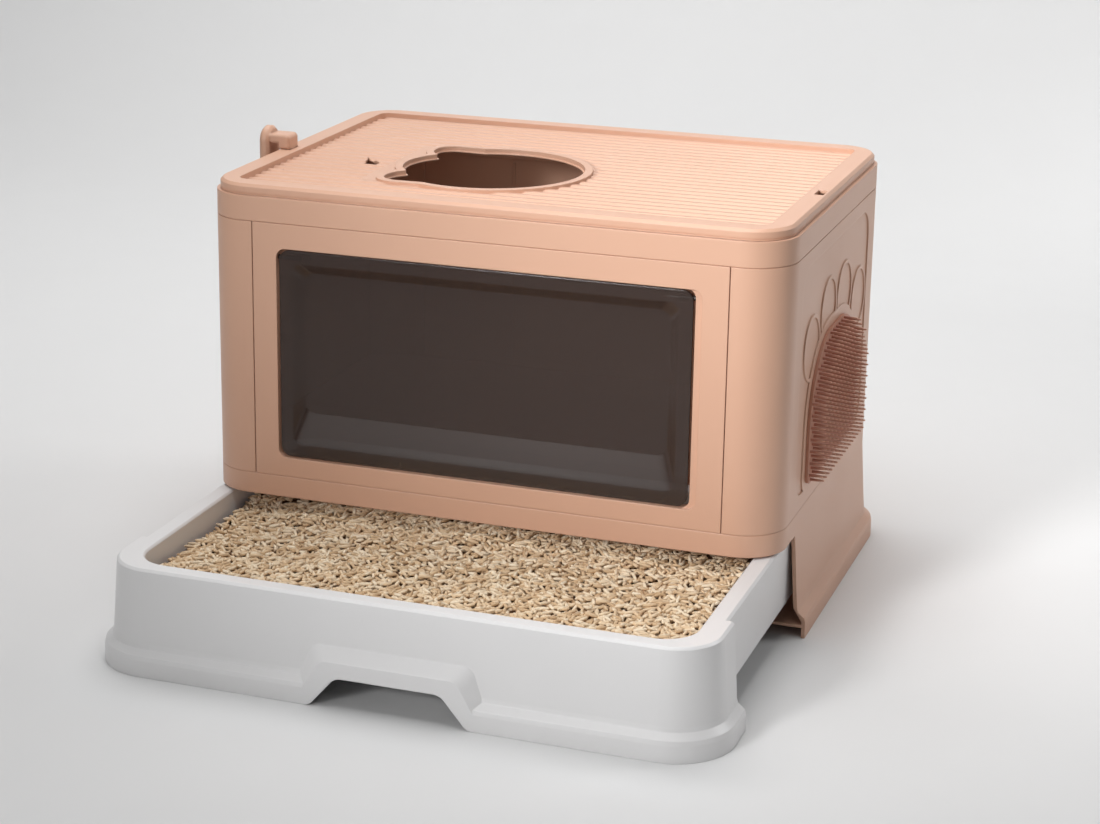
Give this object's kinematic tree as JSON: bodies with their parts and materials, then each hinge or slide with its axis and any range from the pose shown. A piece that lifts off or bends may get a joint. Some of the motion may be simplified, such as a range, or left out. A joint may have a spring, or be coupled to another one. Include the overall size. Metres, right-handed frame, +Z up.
{
  "type": "litter box",
  "caption": "Enclosed litter box with a pull-out tray, a swinging see-through front door, a ribbed lid with a cat-head way out, a side grooming brush and a hung scoop.",
  "frame": {"origin": "on the floor under the middle of the enclosure", "axes": "+Z up, -Y to the front where the tray pulls out and the door is, +X to the side with the brush"},
  "size_m": [0.5555, 0.587, 0.381],
  "materials": {
    "shell": "satin",
    "smoked_door": "clear, smoked",
    "tray": "satin",
    "pellets": "raw",
    "brush": "matt",
    "scoop": "satin",
    "pins": "satin"
  },
  "bodies": {
    "enclosure": {"base_frame": "shell", "left_side_panel": "shell", "right_side_panel": "shell", "front_panel": "shell", "back_panel": "shell", "grooming_brush": "brush"},
    "door": {"entry_door": "smoked_door", "door_pins": "pins"},
    "pull_out_tray": {"tray": "tray", "litter": "pellets"},
    "lid": {"top_lid": "shell"},
    "hung_scoop": {"scoop": "scoop"}
  },
  "joints": [
    {"name": "tray_slide", "type": "slide", "parent": "enclosure", "child": "pull_out_tray", "axis": [0, -1, 0], "range_m": [-0.195, 0.1]},
    {"name": "door_swing", "type": "hinge", "parent": "enclosure", "child": "door", "pos_m": [0, -0.178, 0.3015], "axis": [1, 0, 0], "range_deg": [-70, 70]},
    {"name": "lid_lift", "type": "slide", "parent": "enclosure", "child": "lid", "axis": [0, 0, 1], "range_m": [0, 0.15]},
    {"name": "scoop_lift", "type": "slide", "parent": "lid", "child": "hung_scoop", "axis": [0, 0, 1], "range_m": [0, 0.06]}
  ]
}
